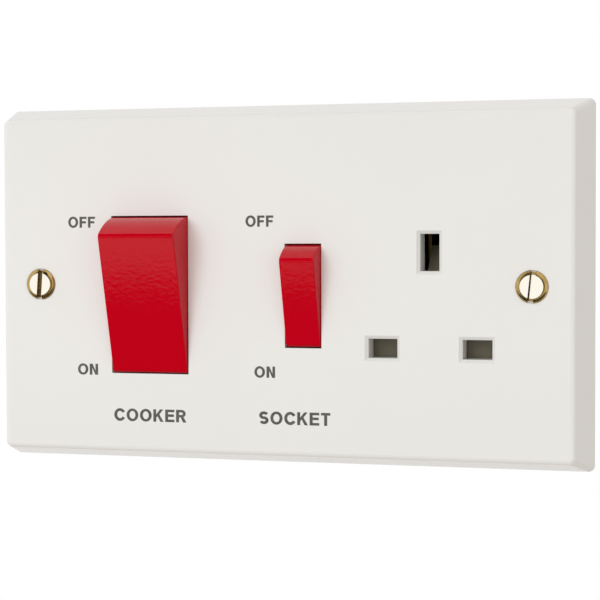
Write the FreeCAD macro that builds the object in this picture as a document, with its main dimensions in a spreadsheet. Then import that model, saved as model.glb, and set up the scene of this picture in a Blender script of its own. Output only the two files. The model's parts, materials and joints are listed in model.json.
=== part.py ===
import FreeCAD, Part
import math
import os
from types import SimpleNamespace

import Sketcher

# Cooker control unit: a double-pole cooker switch beside a switched three-pin socket, on one plate.
# X runs to the right and Z up as seen from the front, and the front faces -Y.
# The origin is the centre of the plate's rear rim, so the wall is the plane Y = 0.

# Driving dimensions, in millimetres and degrees
DIMENSIONS = {
    # Moulded plate: a shallow box with sloping sides
    "plate_width": 146,
    "plate_height": 86,
    "plate_depth": 12,
    "front_inset": 3,
    "front_wall": 3,
    "rim_wall": 2.5,
    "corner_round": 1.6,
    "edge_round": 1.2,
    # Two fixing screws, with leaning slots
    "fixing_spacing": 120.6,
    "fixing_thread": 3.5,
    "fixing_neck": 3.1,
    "fixing_hole": 3.8,
    "fixing_head": 7.5,
    "fixing_head_flat": 5.4,
    "fixing_head_rise": 0.8,
    "fixing_reach": 17,
    "fixing_point": 0.6,
    "fixing_boss": 8.6,
    "fixing_slot_width": 1.3,
    "fixing_slot_depth": 1.3,
    "left_slot_lean": 4,
    "right_slot_lean": 6,
    # Both rockers: a drum about the pivot, cut off flat in front
    "switch_height": -2.43,
    "pivot_depth": 2.7,
    "rocker_tilt": 16,
    "rocker_gap": 0.15,
    "rocker_skirt": 5,
    "rocker_face_wall": 2.2,
    "rocker_end_wall": 1.8,
    "rocker_side_wall": 1.5,
    "rocker_draft": 0.1,
    "rocker_edge": 1.2,
    "rocker_side_edge": 0.4,
    "trunnion": 2.5,
    "trunnion_grip": 1.5,
    "running_gap": 0.05,
    "end_gap": 0.4,
    "collar_wall": 2.4,
    "collar_depth": 2.6,
    # Cooker rocker
    "cooker_opening_width": 19.67,
    "cooker_opening_height": 37.93,
    "cooker_face_rise": 7.7,
    # Socket rocker, beside the socket
    "switch_to_socket": 30.17,
    "socket_opening_width": 8.95,
    "socket_opening_height": 24.5,
    "socket_face_rise": 5.8,
    # Sprung plungers in the rockers, measured from the pivot
    "plunger": 4.3,
    "plunger_tube_wall": 0.8,
    "plunger_tube_reach": 4.5,
    "plunger_back": 0.5,
    "plunger_shoulder": 7,
    "plunger_reach": 12,
    "plunger_nose": 3,
    "plunger_spring": 3.4,
    "spring_wire": 0.5,
    "spring_turns": 4,
    "seat_gap": 0.1,
    # Moving contacts, tipped by the plungers
    "pole_spacing": 10,
    "seesaw_place": 4.5,
    "seesaw_width": 5.4,
    "seesaw_arm": 11,
    "seesaw_bend": 10,
    "seesaw_rise": 1.5,
    "seesaw_pin": 2,
    "seesaw_ear": 1.5,
    "ear_metal": 0.9,
    "bracket_gap": 0.3,
    "cheek_height": 6,
    "cheek_front": 2,
    "contact_arm": 9,
    "contact_gap": 0.12,
    "tip_width": 4,
    "tip_thickness": 1.2,
    "tip_margin": 1,
    # Pressed brass bars
    "strip": 1.2,
    "bar_width": 5,
    "bar_inset": 1.25,
    "socket_bar_width": 4,
    "socket_bar_drop": 4.3,
    "crossing_gap": 3.7,
    # Terminal blocks, with a bore along Z and a clamp screw from the rear
    "terminal_width": 10,
    "terminal_depth": 10,
    "terminal_length": 11,
    "terminal_bore": 5.8,
    "terminal_spacing": 14,
    "earth_terminal_width": 15.2,
    "earth_bore": 4.8,
    "earth_bore_spacing": 8,
    "clamp_screw": 4,
    "clamp_head": 6.4,
    "clamp_head_height": 2.2,
    "clamp_lift": 1.9,
    "clamp_tip_gap": 0.2,
    "clamp_slot_width": 1,
    "clamp_slot_depth": 1.2,
    # Rear tray and the screws that hold it to the plate
    "base_width": 112,
    "base_height": 62,
    "base_notch_gap": 0.4,
    "base_seat": 3,
    "base_wall": 2,
    "base_floor": 2.8,
    "base_corner": 2,
    "post": 5.2,
    "post_gap": 0.3,
    "base_screw": 2.7,
    "base_screw_head": 5.2,
    "base_screw_head_height": 1.8,
    "base_screw_grip": 4.5,
    "rib": 1.5,
    "rib_gap": 0.1,
    "rib_front_gap": 0.9,
    "cooker_room": 8.46,
    "socket_room": 0.635,
    "entry_margin": 1.2,
    "well_margin": 0.8,
    # Three-pin socket
    "pin_pitch": 22.23,
    "earth_pin_height": 7.74,
    "line_hole_width": 6.9,
    "line_hole_height": 4.5,
    "earth_hole_width": 4.5,
    "earth_hole_height": 8.6,
    "hole_bevel": 0.75,
    "hole_bevel_depth": 0.8,
    "boss_margin": 1.5,
    # Pin clips
    "clip_gap": 3.8,
    "clip_metal": 0.8,
    "line_clip_width": 6,
    "line_clip_front": 2.4,
    "earth_clip_front": 0.6,
    "earth_clip_reach": 11.5,
    "earth_clip_height": 8,
    # Shutter, which the earth pin slides down
    "shutter_depth": 5.8,
    "shutter_gap": 0.3,
    "shutter_travel": 5.4,
    "shutter_cover": 0.9,
    "shutter_stem": 9,
    "ramp_width": 3.2,
    "ramp_rise": 5.9,
    "ramp_back": 1.1,
    "ramp_root": 1.6,
    "rail": 1,
    "shutter_rest": 5,
    "shutter_spring": 2.2,
    "shutter_spring_wire": 0.45,
    "shutter_spring_turns": 5,
    "ledge": 2,
    "ledge_width": 8,
}

doc = FreeCAD.newDocument("cooker_control_unit")
sheet = doc.addObject("Spreadsheet::Sheet", "Sizes")
for row, (alias, number) in enumerate(DIMENSIONS.items(), start=1):
    sheet.set(f"A{row}", alias)
    sheet.set(f"B{row}", str(number))
    sheet.setAlias(f"B{row}", alias)
doc.recompute()


class Size:
    """A number worked out from the sheet, with the expression that ties a model to the sheet."""

    def __init__(self, value, text):
        self.value = value
        self.text = text

    def __add__(self, other):
        other = as_size(other)
        return Size(self.value + other.value, f"({self.text} + {other.text})")

    def __sub__(self, other):
        other = as_size(other)
        return Size(self.value - other.value, f"({self.text} - {other.text})")

    def __mul__(self, other):
        other = as_size(other)
        return Size(self.value * other.value, f"({self.text} * {other.text})")

    def __truediv__(self, other):
        other = as_size(other)
        return Size(self.value / other.value, f"({self.text} / {other.text})")

    def __neg__(self):
        return Size(-self.value, f"(-{self.text})")

    def __radd__(self, other):
        return as_size(other) + self

    def __rsub__(self, other):
        return as_size(other) - self

    def __rmul__(self, other):
        return as_size(other) * self


def as_size(number):
    return number if isinstance(number, Size) else Size(number, f"{number}")


def root(size):
    return Size(math.sqrt(size.value), f"sqrt({size.text})")


def cosine(angle):
    return Size(math.cos(math.radians(angle.value)), f"cos({angle.text})")


def tangent(angle):
    return Size(math.tan(math.radians(angle.value)), f"tan({angle.text})")


d = SimpleNamespace(**{alias: Size(sheet.get(alias), f"Sizes.{alias}") for alias in DIMENSIONS})
ZERO = Size(0.0, "0")
ABOUT_X = FreeCAD.Vector(1, 0, 0)
ABOUT_Y = FreeCAD.Vector(0, 1, 0)
QUARTER_TURN = math.degrees(math.tau / 4)
FULL_TURN = math.degrees(math.tau)
# Past a face, for a clean cut, and the slack when places and volumes are compared
PAST = 1
SLACK = 1e-5
# A sketch's own numbers for the points of a curve
START, END, CENTRE = range(1, 4)


# Outlines: each function gives one that draws a closed shape into a sketch, tied to the sheet
def bind(sketch, kind, curve, point, size):
    # In a sketch, point 1 of curve -1 is the origin
    number = sketch.addConstraint(Sketcher.Constraint(kind, -1, START, curve, point, size.value))
    sketch.setExpression(f"Constraints[{number}]", size.text)


def pin(sketch, curve, point, x, y):
    bind(sketch, "DistanceX", curve, point, x)
    bind(sketch, "DistanceY", curve, point, y)


def vector(x, y):
    return FreeCAD.Vector(x.value, y.value, 0)


def disc(x, y, diameter):
    def draw(sketch):
        circle = Part.Circle(vector(x, y), FreeCAD.Vector(0, 0, 1), diameter.value / 2)
        curve = sketch.addGeometry(circle)
        pin(sketch, curve, CENTRE, x, y)
        number = sketch.addConstraint(Sketcher.Constraint("Diameter", curve, diameter.value))
        sketch.setExpression(f"Constraints[{number}]", diameter.text)

    return draw


def arc_between(first, last, centre):
    """The shorter arc from first to last, with the arc's own names for its two ends."""
    middle = vector(*centre)
    spokes = [vector(*point) - middle for point in (first, last)]
    angles = [math.atan2(spoke.y, spoke.x) for spoke in spokes]
    forwards = (angles[1] - angles[0]) % math.tau < math.pi
    circle = Part.Circle(middle, FreeCAD.Vector(0, 0, 1), spokes[0].Length)
    if forwards:
        return Part.ArcOfCircle(circle, angles[0], angles[1]), (START, END)
    return Part.ArcOfCircle(circle, angles[1], angles[0]), (END, START)


def loop(*points):
    """A closed outline. A point is (x, y), or (x, y, centre) where an arc leads to it."""

    def draw(sketch):
        sides = []
        for number, point in enumerate(points):
            last = points[(number + 1) % len(points)]
            if len(last) == 3:
                shape, ends = arc_between(point[:2], last[:2], last[2])
            else:
                shape, ends = Part.LineSegment(vector(*point[:2]), vector(*last)), (START, END)
            sides.append((sketch.addGeometry(shape), ends))
        for number, (curve, ends) in enumerate(sides):
            after, after_ends = sides[(number + 1) % len(sides)]
            joint = Sketcher.Constraint("Coincident", curve, ends[1], after, after_ends[0])
            sketch.addConstraint(joint)
            point = points[number]
            last = points[(number + 1) % len(points)]
            if len(last) == 3:
                pin(sketch, curve, CENTRE, *last[2])
            if len(point) == 2:
                pin(sketch, curve, ends[0], *point)
                continue
            # The arc that ends here already sets one of the two distances
            spoke = vector(*point[:2]) - vector(*point[2])
            if abs(spoke.y) > abs(spoke.x):
                bind(sketch, "DistanceX", curve, ends[0], point[0])
            else:
                bind(sketch, "DistanceY", curve, ends[0], point[1])

    return draw


def span(left, right, low, high):
    return loop((left, low), (right, low), (right, high), (left, high))


def centred(x, y, width, height):
    return span(x - width / 2, x + width / 2, y - height / 2, y + height / 2)


class Piece:
    """A body whose features run between two places along an axis of its own frame."""

    def __init__(self, label):
        self.body = doc.addObject("PartDesign::Body", label)
        self.body.Label = label

    def place(self, x, y, z, axis=None, angle=None):
        base = FreeCAD.Vector(x.value, y.value, z.value)
        turn = FreeCAD.Rotation(axis, angle.value) if axis else FreeCAD.Rotation()
        self.body.Placement = FreeCAD.Placement(base, turn)
        for name, size in (("x", x), ("y", y), ("z", z)):
            self.body.setExpression(f"Placement.Base.{name}", size.text)
        if axis:
            self.body.setExpression("Placement.Rotation.Angle", angle.text)

    def sketch(self, plane, place, *outlines):
        sketch = self.body.newObject("Sketcher::SketchObject", f"{self.body.Name}_outline")
        features = self.body.Origin.OriginFeatures
        sketch.AttachmentSupport = [(next(f for f in features if f.Role == f"{plane}_Plane"), "")]
        sketch.MapMode = "FlatFace"
        # The XZ plane faces -Y, the others face along their own axis
        offset = -place if plane == "XZ" else place
        sketch.AttachmentOffset = FreeCAD.Placement(
            FreeCAD.Vector(0, 0, offset.value), FreeCAD.Rotation()
        )
        sketch.setExpression("AttachmentOffset.Base.z", offset.text)
        for outline in outlines:
            outline(sketch)
        return sketch

    def prism(self, kind, plane, start, length, outlines):
        profile = self.sketch(plane, start, *outlines)
        feature = self.body.newObject(f"PartDesign::{kind}", f"{self.body.Name}_{kind.lower()}")
        feature.Profile = profile
        feature.Length = length.value
        feature.setExpression("Length", length.text)

    def add(self, plane, low, high, *outlines):
        self.prism("Pad", plane, high if plane == "XZ" else low, high - low, outlines)

    def cut(self, plane, low, high, *outlines):
        self.prism("Pocket", plane, low if plane == "XZ" else high, high - low, outlines)

    def loft(self, kind, plane, first, last):
        profiles = [self.sketch(plane, place, outline) for place, outline in (first, last)]
        feature = self.body.newObject(f"PartDesign::{kind}", f"{self.body.Name}_loft")
        feature.Profile = profiles[0]
        feature.Sections = [profiles[1]]
        feature.Ruled = True

    def turned(self, outline):
        """A solid turned about the piece's own Y axis."""
        profile = self.sketch("XY", ZERO, outline)
        feature = self.body.newObject("PartDesign::Revolution", f"{self.body.Name}_turned")
        feature.Profile = profile
        feature.ReferenceAxis = (profile, ["V_Axis"])
        feature.Angle = FULL_TURN

    def coil(self, diameter, wire, low, high, turns):
        """A coil spring about the piece's own Y axis."""
        profile = self.sketch("XY", ZERO, disc(diameter / 2, low + wire / 2, wire))
        feature = self.body.newObject("PartDesign::AdditiveHelix", f"{self.body.Name}_coil")
        feature.Profile = profile
        feature.ReferenceAxis = (profile, ["V_Axis"])
        feature.Mode = "height-turns-angle"
        height = high - low - wire
        feature.Height = height.value
        feature.Turns = turns.value
        feature.setExpression("Height", height.text)
        feature.setExpression("Turns", turns.text)

    def soften(self, radius, chosen):
        doc.recompute()
        base = self.body.Tip
        edges = [f"Edge{n}" for n, edge in enumerate(base.Shape.Edges, start=1) if chosen(edge)]
        feature = self.body.newObject("PartDesign::Fillet", f"{self.body.Name}_round")
        feature.Base = (base, edges)
        feature.Radius = radius.value
        feature.setExpression("Radius", radius.text)


nodes = []


def node(piece):
    nodes.append(piece.body)


def group(label, pieces):
    """Like pieces that share one node."""
    compound = doc.addObject("Part::Compound", label)
    compound.Label = label
    compound.Links = [piece.body for piece in pieces]
    nodes.append(compound)


def lies_at(place):
    return lambda edge: all(abs(vertex.Y - place.value) < SLACK for vertex in edge.Vertexes)


def runs_across(edge):
    widths = [vertex.X for vertex in edge.Vertexes]
    return max(widths) - min(widths) > SLACK


def runs_in_depth(edge):
    depths = [vertex.Y for vertex in edge.Vertexes]
    return max(depths) - min(depths) > SLACK


# Places that several pieces share, along Y from the front to the rear
wall = ZERO
front = -d.plate_depth
inner = front + d.front_wall
pivot = front + d.pivot_depth
collar_rear = inner + d.collar_depth
shutter_front = front + d.shutter_depth
shutter_rear = -d.base_seat - d.shutter_gap
boss_rear = shutter_front - d.shutter_gap
arm_front = d.seesaw_place - d.seesaw_rise * cosine(d.seesaw_bend)
arm_rear = arm_front + d.strip
fixed_tip_front = arm_rear + d.tip_thickness + d.contact_gap
strip_front = fixed_tip_front + d.tip_thickness
strip_rear = strip_front + d.strip
crossing_rear = strip_front - d.crossing_gap
crossing_front = crossing_rear - d.strip
bore_place = strip_rear + d.terminal_depth / 2
floor = strip_rear + d.terminal_depth
base_rear = floor + d.base_floor
rib_front = strip_rear + d.rib_front_gap

# Places along X: the cooker switch stands off the tray's left wall, and the socket off its right wall
base_inside = d.base_width / 2 - d.base_wall
cover_across = d.pin_pitch / 2 + d.line_hole_width / 2 + d.shutter_cover
rail_across = cover_across + d.shutter_gap
socket_middle = base_inside - d.socket_room - d.rail - rail_across
socket_switch = socket_middle - d.switch_to_socket
neutral_terminal = -base_inside + d.cooker_room + d.rib + d.rib_gap + d.terminal_width / 2
cooker_switch = neutral_terminal + d.terminal_spacing / 2
live_terminal = cooker_switch + d.terminal_spacing / 2
cooker_live = cooker_switch + d.pole_spacing / 2
cooker_neutral = cooker_switch - d.pole_spacing / 2
live_pin = socket_middle + d.pin_pitch / 2
neutral_pin = socket_middle - d.pin_pitch / 2
post_across = base_inside - d.post_gap - d.post / 2
half_strip = d.seesaw_width / 2

# Places along Z
line_pin_height = d.earth_pin_height - d.pin_pitch
contact_height = d.switch_height + d.contact_arm
contact_foot = contact_height - d.tip_width / 2 - d.tip_margin
terminal_end = d.base_height / 2 - d.base_wall
terminal_start = terminal_end - d.terminal_length
bracket_top = d.switch_height + d.cheek_height / 2
bracket_foot = d.switch_height - d.cheek_height / 2
cover_top = line_pin_height + d.line_hole_height / 2 + d.shutter_cover
cover_foot = line_pin_height - d.line_hole_height / 2 - d.shutter_cover
ledge_foot = -terminal_end + d.shutter_gap
ledge_top = ledge_foot + d.ledge
post_up = terminal_end - d.post_gap - d.post / 2

CORNERS = [(across, up) for across in (-post_across, post_across) for up in (-post_up, post_up)]
LINE_HOLES = [live_pin, neutral_pin]
FIXINGS = [-d.fixing_spacing / 2, d.fixing_spacing / 2]


def front_plate():
    plate = Piece("front_plate")

    def outline(inset, walls):
        return centred(ZERO, ZERO, d.plate_width - 2 * (inset + walls), d.plate_height - 2 * (inset + walls))

    plate.loft("AdditiveLoft", "XZ", (wall, outline(ZERO, ZERO)), (front, outline(d.front_inset, ZERO)))
    plate.soften(d.corner_round, runs_in_depth)
    plate.soften(d.edge_round, lies_at(front))
    slope_inside = d.front_inset * (d.plate_depth - d.front_wall) / d.plate_depth
    hollow_front = (inner, outline(slope_inside, d.rim_wall))
    plate.loft("SubtractiveLoft", "XZ", (wall, outline(ZERO, d.rim_wall)), hollow_front)

    # Bosses, collars, rails and the spring's ledge grow from the middle of the front wall
    rooted = inner - d.front_wall / 2
    switches = [
        (cooker_switch, d.cooker_opening_width, d.cooker_opening_height),
        (socket_switch, d.socket_opening_width, d.socket_opening_height),
    ]
    collars = [
        centred(x, d.switch_height, width + 2 * d.collar_wall, height + 2 * d.collar_wall)
        for x, width, height in switches
    ]
    plate.add("XZ", rooted, collar_rear, *collars)
    boss_half = d.pin_pitch / 2 + d.line_hole_width / 2 + d.boss_margin
    boss_top = d.earth_pin_height + d.earth_hole_height / 2 + d.boss_margin
    boss_foot = cover_foot - d.shutter_travel - d.shutter_gap
    plate.add(
        "XZ", rooted, boss_rear,
        span(socket_middle - boss_half, socket_middle + boss_half, boss_foot, boss_top),
    )
    rails = [
        span(left, left + d.rail, boss_foot, cover_top)
        for left in (socket_middle - rail_across - d.rail, socket_middle + rail_across)
    ]
    half_ledge = d.ledge_width / 2
    ledge = span(socket_middle - half_ledge, socket_middle + half_ledge, ledge_foot, ledge_top)
    plate.add("XZ", rooted, shutter_rear, *rails, ledge)
    plate.add("XZ", rooted, wall - d.end_gap, *[disc(x, ZERO, d.fixing_boss) for x in FIXINGS])
    plate.add("XZ", rooted, -d.base_seat, *[disc(x, z, d.post) for x, z in CORNERS])

    openings = [centred(x, d.switch_height, width, height) for x, width, height in switches]
    plate.cut("XZ", front - PAST, collar_rear + PAST, *openings)
    pin_holes = [
        (x, line_pin_height, d.line_hole_width, d.line_hole_height) for x in LINE_HOLES
    ] + [(socket_middle, d.earth_pin_height, d.earth_hole_width, d.earth_hole_height)]
    plate.cut("XZ", front - PAST, boss_rear + PAST, *[centred(*hole) for hole in pin_holes])
    for x, z, width, height in pin_holes:
        mouth = centred(x, z, width + 2 * d.hole_bevel, height + 2 * d.hole_bevel)
        throat = centred(x, z, width, height)
        plate.loft("SubtractiveLoft", "XZ", (front, mouth), (front + d.hole_bevel_depth, throat))
    plate.cut("XZ", front - PAST, wall, *[disc(x, ZERO, d.fixing_hole) for x in FIXINGS])
    sink = d.fixing_head + 2 * d.seat_gap
    sink_end = front + (sink - d.fixing_hole) / 2
    for x in FIXINGS:
        mouth, throat = disc(x, ZERO, sink), disc(x, ZERO, d.fixing_hole)
        plate.loft("SubtractiveLoft", "XZ", (front, mouth), (sink_end, throat))
    screw_end = -d.base_seat - d.base_screw_grip - d.end_gap
    pilot = d.base_screw + 2 * d.running_gap
    plate.cut("XZ", screw_end, -d.base_seat, *[disc(x, z, pilot) for x, z in CORNERS])
    for x, width, _ in switches:
        reach = width / 2 + d.trunnion_grip + d.end_gap
        bearing = disc(pivot, d.switch_height, d.trunnion + 2 * d.running_gap)
        plate.cut("YZ", x - reach, x + reach, bearing)
    node(plate)


def fixing_screw(label, x, lean):
    """A raised countersunk screw with a plain neck, a flat top and a slot."""
    screw = Piece(label)
    screw.place(x, front, ZERO, ABOUT_Y, lean)
    head = d.fixing_head / 2
    neck = d.fixing_neck / 2
    thread = d.fixing_thread / 2
    flat = d.fixing_head_flat / 2
    rise = d.fixing_head_rise
    shoulder = head - flat
    # Depth of the centre of the round shoulder between the head's rim and its flat
    sunk = (shoulder * shoulder - rise * rise) / (2 * rise)
    neck_end = d.plate_depth + d.end_gap
    tip = d.plate_depth + d.fixing_reach
    screw.turned(
        loop(
            (ZERO, tip),
            (neck, tip),
            (thread, tip - d.fixing_point),
            (thread, neck_end),
            (neck, neck_end),
            (neck, head - neck),
            (head, ZERO),
            (flat, -rise, (flat, sunk)),
            (ZERO, -rise),
        )
    )
    slot = centred(ZERO, ZERO, d.fixing_slot_width, d.fixing_head + 2 * PAST)
    screw.cut("XZ", -rise - PAST, -rise + d.fixing_slot_depth, slot)
    return screw


def rocker(label, place, opening_width, opening_height, face_rise, poles):
    """A hollow drum segment on two trunnions, with a tube for each plunger."""
    piece = Piece(label)
    piece.place(place, pivot, d.switch_height, ABOUT_X, d.rocker_tilt)
    half = opening_width / 2 - d.rocker_gap
    drum = opening_height / 2 - d.rocker_gap

    def segment(radius, face, skirt):
        face_half = root(radius * radius - face * face)
        skirt_half = root(radius * radius - skirt * skirt)
        middle = (ZERO, ZERO)
        return loop(
            (-face, face_half),
            (skirt, skirt_half, middle),
            (skirt, -skirt_half),
            (-face, -face_half, middle),
        )

    piece.add("YZ", -half, half, segment(drum, face_rise, d.rocker_skirt))
    drafts = [
        loop(
            (side * half, ZERO),
            (side * (half - d.rocker_draft), -face_rise),
            (side * (half - d.rocker_draft), -face_rise - PAST),
            (side * (half + PAST), -face_rise - PAST),
            (side * (half + PAST), ZERO),
        )
        for side in (-1, 1)
    ]
    piece.cut("XY", -drum, drum, *drafts)
    at_face = lies_at(-face_rise)
    piece.soften(d.rocker_edge, lambda edge: at_face(edge) and runs_across(edge))
    piece.soften(d.rocker_side_edge, lambda edge: at_face(edge) and not runs_across(edge))
    ceiling = face_rise - d.rocker_face_wall
    inside = half - d.rocker_side_wall
    piece.cut("YZ", -inside, inside, segment(drum - d.rocker_end_wall, ceiling, d.rocker_skirt + PAST))
    bore = d.plunger + 2 * d.running_gap
    tube = bore + 2 * d.plunger_tube_wall
    rooted = -face_rise + d.rocker_face_wall / 2
    piece.add("XZ", rooted, d.plunger_tube_reach, *[disc(x, ZERO, tube) for x in poles])
    piece.cut("XZ", -ceiling, d.plunger_tube_reach + PAST, *[disc(x, ZERO, bore) for x in poles])
    tip = opening_width / 2 + d.trunnion_grip
    trunnion = disc(ZERO, ZERO, d.trunnion)
    piece.add("YZ", -tip, -half + d.rocker_side_wall / 2, trunnion)
    piece.add("YZ", half - d.rocker_side_wall / 2, tip, trunnion)
    node(piece)


def plunger(label, place):
    piece = Piece(label)
    piece.place(place, pivot, d.switch_height, ABOUT_X, d.rocker_tilt)
    radius, nose = d.plunger / 2, d.plunger_nose / 2
    ball = d.plunger_reach - nose
    piece.turned(
        loop(
            (ZERO, d.plunger_back),
            (radius, d.plunger_back),
            (radius, d.plunger_shoulder),
            (nose, d.plunger_shoulder),
            (nose, ball),
            (ZERO, d.plunger_reach, (ZERO, ball)),
        )
    )
    node(piece)


def plunger_spring(label, place, face_rise):
    spring = Piece(label)
    spring.place(place, pivot, d.switch_height, ABOUT_X, d.rocker_tilt)
    low = -face_rise + d.rocker_face_wall + d.seat_gap
    spring.coil(d.plunger_spring, d.spring_wire, low, d.plunger_back - d.seat_gap, d.spring_turns)
    node(spring)


def seesaw(label, place):
    """A bent strip on a cross pin. At rest its upper arm stands upright against the fixed contact."""
    piece = Piece(label)
    piece.place(place, d.seesaw_place, d.switch_height, -ABOUT_X, d.seesaw_bend)
    lean = d.seesaw_arm * tangent(d.seesaw_bend)
    thick = d.strip / cosine(d.seesaw_bend)
    fold = -d.seesaw_rise
    piece.add(
        "YZ", -half_strip, half_strip,
        loop(
            (fold, ZERO),
            (fold - lean, -d.seesaw_arm),
            (fold - lean + thick, -d.seesaw_arm),
            (fold + thick, ZERO),
            (fold - lean + thick, d.seesaw_arm),
            (fold - lean, d.seesaw_arm),
        ),
    )
    ear = span(fold + thick / 2, d.seesaw_ear, -d.seesaw_ear, d.seesaw_ear)
    piece.add("YZ", -half_strip, -half_strip + d.ear_metal, ear)
    piece.add("YZ", half_strip - d.ear_metal, half_strip, ear)
    pin_end = half_strip + d.bracket_gap + d.ear_metal
    piece.add("YZ", -pin_end, pin_end, disc(ZERO, ZERO, d.seesaw_pin))
    node(piece)


def contact_tip(label, place, rear):
    tip = Piece(label)
    tip.add("XZ", rear - d.tip_thickness, rear, disc(place, contact_height, d.tip_width))
    return tip


def pivot_cheeks(bar, place):
    """Two upright cheeks that carry a moving contact's cross pin."""
    gap = half_strip + d.bracket_gap
    cheek = span(d.seesaw_place - d.cheek_front, strip_rear, bracket_foot, bracket_top)
    bar.add("YZ", place - gap - d.ear_metal, place - gap, cheek)
    bar.add("YZ", place + gap, place + gap + d.ear_metal, cheek)
    # The strip is as wide as the cheeks where they stand on it
    foot = gap + d.ear_metal
    bar.add("XZ", strip_front, strip_rear, span(place - foot, place + foot, bracket_foot, bracket_top))
    hole = disc(d.seesaw_place, d.switch_height, d.seesaw_pin + 2 * d.running_gap)
    bar.cut("YZ", place - foot - PAST, place + foot + PAST, hole)


def load_bracket(label, place):
    bracket = Piece(label)
    strip_foot = -terminal_end + d.bar_inset
    bracket.add(
        "XZ", strip_front, strip_rear,
        span(place - half_strip, place + half_strip, strip_foot, bracket_top),
    )
    pivot_cheeks(bracket, place)
    node(bracket)


def live_supply_bar():
    """One pressing: the cooker's and the socket's fixed contacts hang from a cross bar."""
    bar = Piece("live_supply_bar")
    low = terminal_start + d.bar_inset
    high = low + d.bar_width
    left, right = cooker_live, socket_switch
    bar.add(
        "XZ", strip_front, strip_rear,
        loop(
            (left - half_strip, contact_foot),
            (left + half_strip, contact_foot),
            (left + half_strip, low),
            (right - half_strip, low),
            (right - half_strip, contact_foot),
            (right + half_strip, contact_foot),
            (right + half_strip, high),
            (left - half_strip, high),
        ),
    )
    node(bar)


def pin_clip(bar, place):
    """A folded clip, open to the front, that grips a line pin above and below."""
    inside = d.clip_gap / 2
    outside = inside + d.clip_metal
    mouth = -d.line_clip_front
    low, high = line_pin_height - outside, line_pin_height + outside
    bar.add(
        "YZ", place - d.line_clip_width / 2, place + d.line_clip_width / 2,
        loop(
            (mouth, low),
            (strip_rear, low),
            (strip_rear, high),
            (mouth, high),
            (mouth, line_pin_height + inside),
            (strip_front, line_pin_height + inside),
            (strip_front, line_pin_height - inside),
            (mouth, line_pin_height - inside),
        ),
    )


def neutral_supply_bar():
    """Steps forward over the live bar and runs down to the socket's neutral clip."""
    bar = Piece("neutral_supply_bar")
    left, right = cooker_neutral - half_strip, cooker_neutral + half_strip
    high = terminal_end - d.bar_inset
    bar.add("XZ", strip_front, strip_rear, span(left, right, contact_foot, high))
    bar.add("XY", high - d.strip, high, span(left, right, crossing_front, strip_rear))
    leg_left, leg_right = neutral_pin - half_strip, neutral_pin + half_strip
    leg_foot = line_pin_height + d.clip_gap / 2 + d.clip_metal / 2
    bar.add(
        "XZ", crossing_front, crossing_rear,
        loop(
            (left, high - d.bar_width),
            (leg_left, high - d.bar_width),
            (leg_left, leg_foot),
            (leg_right, leg_foot),
            (leg_right, high),
            (left, high),
        ),
    )
    pin_clip(bar, neutral_pin)
    node(bar)


def socket_live_bar():
    """Carries the socket's moving contact and runs under the clips to the live pin."""
    bar = Piece("socket_live_bar")
    high = line_pin_height - d.socket_bar_drop
    low = high - d.socket_bar_width
    left, right = socket_switch, live_pin
    bar.add(
        "XZ", strip_front, strip_rear,
        loop(
            (left - half_strip, low),
            (right + half_strip, low),
            (right + half_strip, line_pin_height),
            (right - half_strip, line_pin_height),
            (right - half_strip, high),
            (left + half_strip, high),
            (left + half_strip, bracket_top),
            (left - half_strip, bracket_top),
        ),
    )
    pivot_cheeks(bar, socket_switch)
    pin_clip(bar, live_pin)
    node(bar)


def earth_strap():
    """A folded clip that grips the earth pin on both sides, under a strap to the terminal."""
    strap = Piece("earth_strap")
    inside = d.clip_gap / 2
    outside = inside + d.clip_metal
    foot = d.earth_pin_height - d.earth_clip_height / 2
    roof = d.earth_pin_height + d.earth_clip_height / 2 + d.shutter_gap
    x = socket_middle
    strap.add(
        "XZ", -d.earth_clip_front, d.earth_clip_reach,
        loop(
            (x - outside, foot),
            (x - inside, foot),
            (x - inside, roof),
            (x + inside, roof),
            (x + inside, foot),
            (x + outside, foot),
            (x + outside, roof + d.clip_metal),
            (x - outside, roof + d.clip_metal),
        ),
    )
    strap_top = terminal_end - d.bar_inset
    strap.add("XZ", strip_front, strip_rear, span(x - outside, x + outside, roof, strap_top))
    node(strap)


def terminal(label, place, low, width, bore, bores):
    """A brass block with cable bores along Z, each clamped by a screw from the rear."""
    block = Piece(label)
    high = low + d.terminal_length
    block.add("XZ", strip_rear, floor, span(place - width / 2, place + width / 2, low, high))
    block.cut("XY", low - PAST, high + PAST, *[disc(x, bore_place, bore) for x in bores])
    tapped = d.clamp_screw + 2 * d.running_gap
    middle = low + d.terminal_length / 2
    block.cut("XZ", bore_place, floor + PAST, *[disc(x, middle, tapped) for x in bores])
    node(block)


def slotted_screw(label, place, height, tip, shoulder, shank, head, head_height):
    """A cheese-head screw that enters from the rear."""
    screw = Piece(label)
    screw.place(place, ZERO, height)
    top = shoulder + head_height
    screw.turned(
        loop(
            (ZERO, tip),
            (shank / 2, tip),
            (shank / 2, shoulder),
            (head / 2, shoulder),
            (head / 2, top),
            (ZERO, top),
        )
    )
    slot = centred(ZERO, ZERO, head + 2 * PAST, d.clamp_slot_width)
    screw.cut("XZ", top - d.clamp_slot_depth, top + PAST, slot)
    return screw


CABLES = []


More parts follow.
